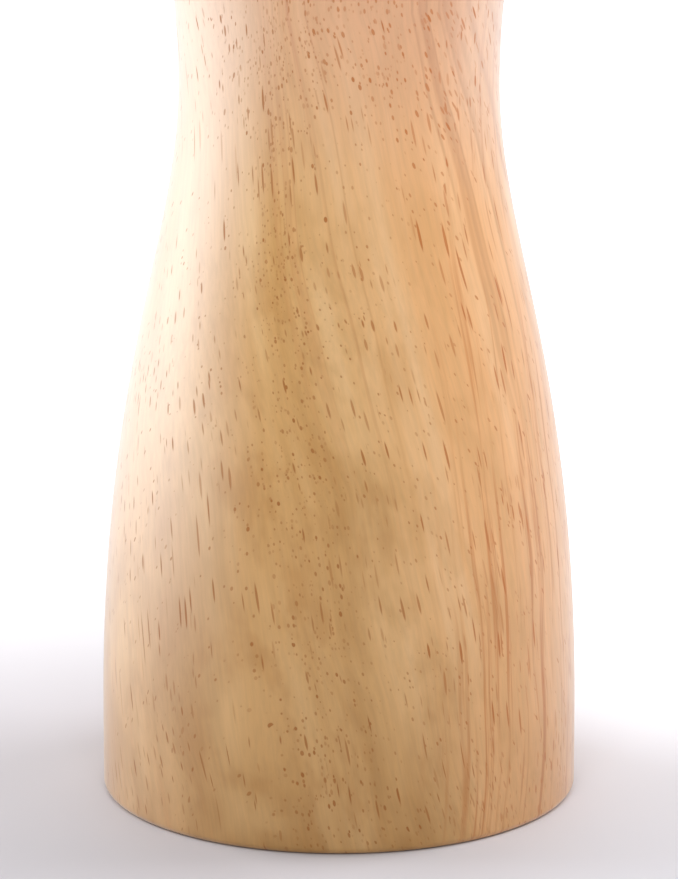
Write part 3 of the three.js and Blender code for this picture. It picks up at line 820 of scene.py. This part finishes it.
def stator_burr():
    """Fine saw teeth below, and above them a funnel with curved grooves that feed them."""
    height = STATOR_TOP - GRINDER_BASE
    teeth_top = GRINDER_BASE + FINE_TEETH_HEIGHT
    edge = 0.3 * MM
    outline = [
        (STATOR_RADIUS - edge, GRINDER_BASE),
        (STATOR_RADIUS, GRINDER_BASE + edge),
        (STATOR_RADIUS, STATOR_TOP - edge),
        (STATOR_RADIUS - edge, STATOR_TOP),
        *split((BURR_MOUTH, STATOR_TOP), (stator_tip(FINE_TEETH_HEIGHT), teeth_top), 8),
        *split((stator_tip(FINE_TEETH_HEIGHT), teeth_top), (BURR_MOUTH, GRINDER_BASE), 20),
        (BURR_MOUTH, GRINDER_BASE),
    ]

    def worked(angle, radius, z):
        if radius > BURR_MOUTH + SEAT:
            return angle, radius
        up = z - GRINDER_BASE
        fine = TOOTH_DEPTH * (1 - tooth(STATOR_TEETH, angle))
        feed = FEED_DEPTH * wave(FEED_GROOVES, angle) ** 2 * max(0, up / height - 0.3) / 0.7
        if up > FINE_TEETH_HEIGHT:
            fine *= max(0, 1 - (up - FINE_TEETH_HEIGHT) / MM)
        return angle + STATOR_TWIST * up, radius + max(fine, feed)

    return turned("stator_teeth", outline, 16 * STATOR_TEETH, worked)


def rotor_burr():
    """Fine saw teeth round the foot, and curved crushing blades above them."""
    hub = SHAFT_BORE + 2 * SPRING_WIRE + RUNNING
    inset = ROTOR_BASE - GRINDER_BASE
    ring_top = ROTOR_BASE + ROTOR_RING_HEIGHT

    def tip(up):
        return stator_tip(up + inset) - BURR_GAP

    blade_foot = tip(ROTOR_RING_HEIGHT) - TOOTH_DEPTH
    pocket = high("rotor_washer").x + RUNNING
    outline = [
        (0, SHAFT_FOOT),
        (pocket, SHAFT_FOOT),
        (pocket, ROTOR_BASE + 0.3 * MM),
        (pocket + 0.3 * MM, ROTOR_BASE),
        (tip(0) - TOOTH_DEPTH, ROTOR_BASE),
        *split((tip(0.6 * MM), ROTOR_BASE + 0.6 * MM), (tip(ROTOR_RING_HEIGHT), ring_top), 18),
        (tip(ROTOR_RING_HEIGHT), ring_top),
        *split((blade_foot, ring_top + 0.5 * MM), (hub + TOOTH_DEPTH, ROTOR_TOP), 28),
        (hub + TOOTH_DEPTH, ROTOR_TOP),
        (0, ROTOR_TOP),
    ]

    def worked(angle, radius, z):
        up = z - ROTOR_BASE
        if radius < hub or up <= 0:
            return angle, radius
        if z > ring_top + SEAT:
            share = (z - ring_top) / (ROTOR_TOP - ring_top)
            blade = tooth(CRUSHER_BLADES, angle, -1) ** 2.2
            carved = hub + (radius - hub) * blade - 0.4 * MM * (1 - share) * (1 - blade)
            return angle + ROTOR_TWIST * ROTOR_RING_HEIGHT + BLADE_TWIST * (z - ring_top), carved
        return angle + ROTOR_TWIST * up, radius - TOOTH_DEPTH * (1 - tooth(ROTOR_TEETH, angle, -1))

    obj = turned("rotor_teeth", outline, 18 * ROTOR_TEETH, worked)
    return combine(obj, [square_bar(SQUARE_HOLE, 0, ROTOR_TOP + MM)], "DIFFERENCE")


def rotor_washer():
    base, top = low("rotor_washer").z, high("rotor_washer").z
    corners = ring(ROTOR_SCREW["shank"] * MM + SEAT, high("rotor_washer").x, base, top)
    return turned("rotor_washer_ring", soften(corners, 0.15 * MM))


def base_plate():
    corners = ring(BURR_MOUTH + SEAT, FLANGE_RADIUS, PLATE_BASE, PLATE_TOP)
    obj = turned("base_cover", soften(corners, 0.25 * MM), ROUND)
    return combine(obj, base_screw_holes(PLATE_TOP + MM), "DIFFERENCE")


# ---- Drive ----


def drive_shaft():
    """A square bar with its edges turned off, threaded at its top end and tapped at its foot."""
    shoulder = HEAD_TOP - THREAD_IN_HEAD
    chamfer = 0.6 * MM
    tapping = ROTOR_SCREW["shank"] * MM + SEAT
    tapping_top = SHAFT_FOOT + ROTOR_SCREW["length"] * MM
    turned_off = SHAFT_CORNER - 0.25 * MM
    pitch, depth = SHAFT_THREAD["pitch"], SHAFT_THREAD["depth"]
    rows = round((SHAFT_TOP - chamfer - shoulder) / pitch * SHAFT_ROWS)
    outline = [
        (0, tapping_top),
        (tapping, tapping_top),
        (tapping, SHAFT_FOOT + 0.3 * MM),
        (tapping + 0.3 * MM, SHAFT_FOOT),
        *split((turned_off - chamfer, SHAFT_FOOT), (turned_off, SHAFT_FOOT + chamfer), 4),
        *split((turned_off, SHAFT_FOOT + chamfer), (turned_off, shoulder - chamfer), 40),
        *split((turned_off, shoulder - chamfer), (THREAD_RADIUS, shoulder), 8),
        (THREAD_RADIUS, shoulder),
        *split((THREAD_RADIUS, shoulder + SEAT), (THREAD_RADIUS, SHAFT_TOP - chamfer), rows),
        *split((THREAD_RADIUS, SHAFT_TOP - chamfer), (THREAD_RADIUS - chamfer, SHAFT_TOP), 6),
        (THREAD_RADIUS - chamfer, SHAFT_TOP),
        (0, SHAFT_TOP),
    ]

    def worked(angle, radius, z):
        if radius <= tapping + 0.3 * MM:
            return angle, radius
        if z <= shoulder - SEAT:
            return angle, min(radius, SHAFT_HALF / max(abs(math.cos(angle)), abs(math.sin(angle))))
        limit = THREAD_RADIUS - thread_groove(pitch, depth, angle, z) * min(1, (z - shoulder) / pitch)
        return angle, min(radius, limit)

    return turned("square_shaft", outline, FINE, worked)


def spring():
    """A coil between the rotor and the seat. Its pitch falls away over its first and last turns."""
    mean = SHAFT_BORE + SPRING_WIRE
    wire = SPRING_WIRE / 2
    length = SPRING_SEAT_BASE - SEAT - SPRING_BASE
    steps, sides = 64 * SPRING_TURNS, 14
    vertices, faces = [], []
    for i in range(steps + 1):
        t = i / steps
        eased = t * t * t * (t * (6 * t - 15) + 10)
        rise = t + SPRING_EASE * (eased - t)
        angle = 2 * math.pi * SPRING_TURNS * t
        height = SPRING_BASE + wire + rise * (length - SPRING_WIRE)
        for k in range(sides):
            around_wire = 2 * math.pi * k / sides
            r = mean + wire * math.cos(around_wire)
            z = height + wire * math.sin(around_wire)
            vertices.append((r * math.cos(angle), r * math.sin(angle), z))
    for i in range(steps):
        for k in range(sides):
            j = (k + 1) % sides
            faces.append((i * sides + k, (i + 1) * sides + k, (i + 1) * sides + j, i * sides + j))
    faces.append(tuple(range(sides)))
    faces.append(tuple(steps * sides + k for k in range(sides - 1, -1, -1)))
    return show("coil_spring", vertices, faces, 50)


def spring_seat():
    corners = disc(high("spring_seat").x, SPRING_SEAT_BASE, SPRING_SEAT_TOP)
    obj = turned("spring_cup_washer", soften(corners, 0.15 * MM))
    return combine(obj, [square_bar(SQUARE_HOLE, 0, SPRING_SEAT_TOP + MM)], "DIFFERENCE")


# ---- Turn plate, top plate and knob ----


def turn_plate():
    plate = disc(TURN_PLATE_RADIUS, TURN_PLATE_BASE, TURN_PLATE_TOP)
    obj = turned("turn_plate_disc", soften(plate, 0.2 * MM), ROUND)
    thickness = TURN_PLATE_TOP - TURN_PLATE_BASE
    shank, widest = TURN_SCREW["shank"] * MM + SEAT, TURN_SCREW["head"] * MM + SEAT
    sunk_hole = [
        (0, TURN_PLATE_BASE - MM),
        (widest + (widest - shank) * MM / thickness, TURN_PLATE_BASE - MM),
        (shank, TURN_PLATE_TOP),
        (shank, TURN_PLATE_TOP + MM),
        (0, TURN_PLATE_TOP + MM),
    ]
    combine(obj, around(lambda: pin(sunk_hole, TURN_SCREW_CIRCLE)), "DIFFERENCE")
    return combine(obj, [square_bar(SQUARE_HOLE, 0, TURN_PLATE_TOP + MM)], "DIFFERENCE")


def top_plate():
    """A disc with a domed edge and a turned step round its hole."""
    outer, step = TOP_PLATE_RADIUS, 0.3 * MM
    thickness = TOP_PLATE_TOP - TOP_PLATE_BASE
    edge = 0.5 * thickness
    outline = [
        (KNOB_BORE, TOP_PLATE_BASE),
        (outer - 0.1 * MM, TOP_PLATE_BASE),
        (outer, TOP_PLATE_BASE + 0.1 * MM),
        (outer, TOP_PLATE_BASE + 0.2 * MM),
        *bezier(
            (outer, TOP_PLATE_BASE + edge),
            (outer, TOP_PLATE_TOP - 0.15 * MM),
            (outer - 0.3 * MM, TOP_PLATE_TOP),
            (outer - 1.2 * edge, TOP_PLATE_TOP),
            10,
        ),
        (KNOB_BORE + step, TOP_PLATE_TOP),
        (KNOB_BORE, TOP_PLATE_TOP - step),
    ]
    return turned("escutcheon", outline, ROUND)


def knob_washer():
    base, top = low("knob_washer").z, high("knob_washer").z
    corners = ring(KNOB_BORE, high("knob_washer").x, base, top)
    return turned("knob_glide", soften(corners, 0.2 * MM), ROUND)


def knob():
    """A ball on a short neck and a fluted foot, with a blind threaded bore."""
    centre = KNOB_TOP - KNOB_BALL_RADIUS
    foot_top = KNOB_BASE + KNOB_FOOT_HEIGHT
    neck_angle = math.degrees(math.acos(KNOB_NECK_RADIUS / KNOB_BALL_RADIUS))
    neck_top = centre - KNOB_BALL_RADIUS * math.sin(math.radians(neck_angle))
    bore_top = KNOB_BASE + KNOB_BORE_DEPTH
    pitch, depth = SHAFT_THREAD["pitch"], KNOB_BORE - SHAFT_HALF
    edge = 0.35 * MM
    neck = bezier(
        (KNOB_FOOT_RADIUS - edge, foot_top),
        (KNOB_NECK_RADIUS - 0.4 * MM, foot_top),
        (KNOB_NECK_RADIUS - 0.5 * MM, 0.5 * (foot_top + neck_top)),
        (KNOB_NECK_RADIUS, neck_top),
        14,
    )
    outline = [
        (KNOB_BORE + edge, KNOB_BASE),
        (KNOB_FOOT_RADIUS - edge, KNOB_BASE),
        *split((KNOB_FOOT_RADIUS, KNOB_BASE + edge), (KNOB_FOOT_RADIUS, foot_top - edge), 6),
        (KNOB_FOOT_RADIUS, foot_top - edge),
        *neck,
        *arc(0, centre, KNOB_BALL_RADIUS, -neck_angle, 90, 60)[1:-1],
        (0, KNOB_TOP),
    ]
    bore = [(0, bore_top), (KNOB_BORE, bore_top)]
    rows = round(KNOB_BORE_DEPTH / pitch * SHAFT_ROWS)
    bore += split((KNOB_BORE, bore_top), (KNOB_BORE, KNOB_BASE + edge), rows)[1:]
    bore += [(KNOB_BORE, KNOB_BASE + edge)]

    def worked(angle, radius, z):
        if radius == KNOB_BORE and KNOB_BASE + edge < z < bore_top:
            return angle, radius - depth + thread_groove(pitch, depth, angle, z)
        if radius == KNOB_FOOT_RADIUS:
            return angle, radius - FLUTE_DEPTH * (1 - wave(KNOB_FLUTES, angle))
        return angle, radius

    return turned("ball_knob", bore + outline, 6 * KNOB_FLUTES, worked)


place(barrel(), "mill_body", WOOD, "barrel")
place(mouth_ring(), "mill_body", STAINLESS, "mouth_ring")
place(glide_washer(), "mill_body", NYLON, "glide_washer")
place(grinder_housing(), "mill_body", PLASTIC, "grinder_housing")
place(stator_burr(), "mill_body", CERAMIC, "stator_burr")
place(base_plate(), "mill_body", STAINLESS, "base_plate")
screws("base_screw", "mill_body", BASE_SCREW, PLATE_BASE - SEAT, SCREW_CIRCLE)

place(drive_shaft(), "drive", ZINC, "drive_shaft")
place(rotor_burr(), "drive", CERAMIC, "rotor_burr")
place(rotor_washer(), "drive", ZINC, "rotor_washer")
rotor_screw = screw("rotor_screw_cross_head", ROTOR_SCREW, low("rotor_washer").z - SEAT)
place(rotor_screw, "drive", ZINC, "rotor_screw")

place(spring_seat(), "carrier", ZINC, "spring_seat")
coil = place(spring(), None, WIRE, "spring")
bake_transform(coil)

place(head(), "cap", WOOD, "head")
place(turn_plate(), "cap", STAINLESS, "turn_plate")
screws("turn_plate_screw", "cap", TURN_SCREW, TURN_PLATE_BASE, TURN_SCREW_CIRCLE, flat=True)
place(top_plate(), "cap", STAINLESS, "top_plate")
place(knob_washer(), "cap", NYLON, "knob_washer")
place(knob(), "finial", POLISHED, "knob")

# ---- Camera, floor and lights ----


def camera():
    data = bpy.data.cameras.new("camera")
    data.lens, data.clip_start, data.clip_end = CAMERA_LENS, 0.05, 50
    obj = bpy.data.objects.new("camera", data)
    bpy.context.scene.collection.objects.link(obj)
    back = Vector((0, -math.cos(CAMERA_ELEVATION), math.sin(CAMERA_ELEVATION)))
    obj.location = Vector((0, 0, CAMERA_AIM_HEIGHT)) + CAMERA_DISTANCE * back
    obj.rotation_mode = "QUATERNION"
    obj.rotation_quaternion = (-back).to_track_quat("-Z", "Y")
    bpy.context.scene.camera = obj


def floor():
    """A pale floor that brightens to white away from the mill. It glows with painted light, most
    behind the mill and on its +X side, and a painted shadow darkens it on -X near the mill.
    """
    size = 6.0
    corners = [(-size, -size, 0), (size, -size, 0), (size, size, 0), (-size, size, 0)]
    obj = show("floor", corners, [(0, 1, 2, 3)])
    s = Shader("floor", Roughness=0.6, Emission_Color=(1.0, 1.0, 1.0, 1.0))
    x, y, _ = s.split(s.position())
    from_mill = s.from_axis(x, y)
    behind = s.calc("MULTIPLY_ADD", s.calc("MAXIMUM", x, 0.0), 0.65, y)
    # painted light: the floor glows near the mill, most behind it and on its +X side, and fades up to
    # white far off
    painted_glow_near = s.calc("MAXIMUM", s.fade(behind, 14.0, 100.0), s.fade(from_mill, 60.0, 200.0))
    glow = s.calc("MULTIPLY_ADD", painted_glow_near, 0.42, s.fade(from_mill, 200.0, 1000.0, 0.0, 0.8))
    # painted shadow: the floor's colour is darker on -X near the mill
    shaded = s.times(s.fade(x, 40.0, -30.0), s.fade(from_mill, 220.0, 60.0))
    s.put(s.bsdf.inputs["Base Color"], s.mix(shaded, rgb("ECEEF6"), rgb("D7D6DC")))
    s.put(s.bsdf.inputs["Emission Strength"], glow)
    obj.data.materials.append(s.material)


def area_light(name, place_at, aim, width, height, power, colour=(1, 1, 1)):
    data = bpy.data.lights.new(name, "AREA")
    data.shape, data.size, data.size_y = "RECTANGLE", width, height
    data.energy, data.color = power, colour
    obj = bpy.data.objects.new(name, data)
    bpy.context.scene.collection.objects.link(obj)
    obj.location = place_at
    obj.rotation_mode = "QUATERNION"
    obj.rotation_quaternion = (Vector(aim) - Vector(place_at)).to_track_quat("-Z", "Y")


def surroundings():
    """A white backdrop all round that lights the mill only a little."""
    world = bpy.data.worlds.new("world")
    bpy.context.scene.world = world
    world.use_nodes = True
    nodes, links = world.node_tree.nodes, world.node_tree.links
    seen = nodes.new("ShaderNodeMapRange")
    seen.inputs["To Min"].default_value, seen.inputs["To Max"].default_value = WORLD_LIGHT, 1.0
    links.new(nodes.new("ShaderNodeLightPath").outputs["Is Camera Ray"], seen.inputs["Value"])
    nodes["Background"].inputs["Color"].default_value = (1.0, 1.0, 1.0, 1.0)
    links.new(seen.outputs[0], nodes["Background"].inputs["Strength"])
    bpy.context.scene.view_settings.view_transform = "Standard"


middle = (0, 0, 0.5 * BARREL_TOP)
area_light("left", (-0.42, 0.15, 0.22), middle, 0.38, 0.42, 1.75, (0.98, 0.97, 1.0))
area_light("right", (0.45, 0.14, 0.40), middle, 0.3, 0.5, 1.7, (1.0, 0.96, 0.96))
area_light("front", (-0.02, -0.45, 0.50), (0, 0, 0.1), 0.3, 0.3, 1.15)
area_light("back", (0.0, 0.7, 0.6), middle, 0.8, 0.4, 1.6)
surroundings()
floor()
camera()
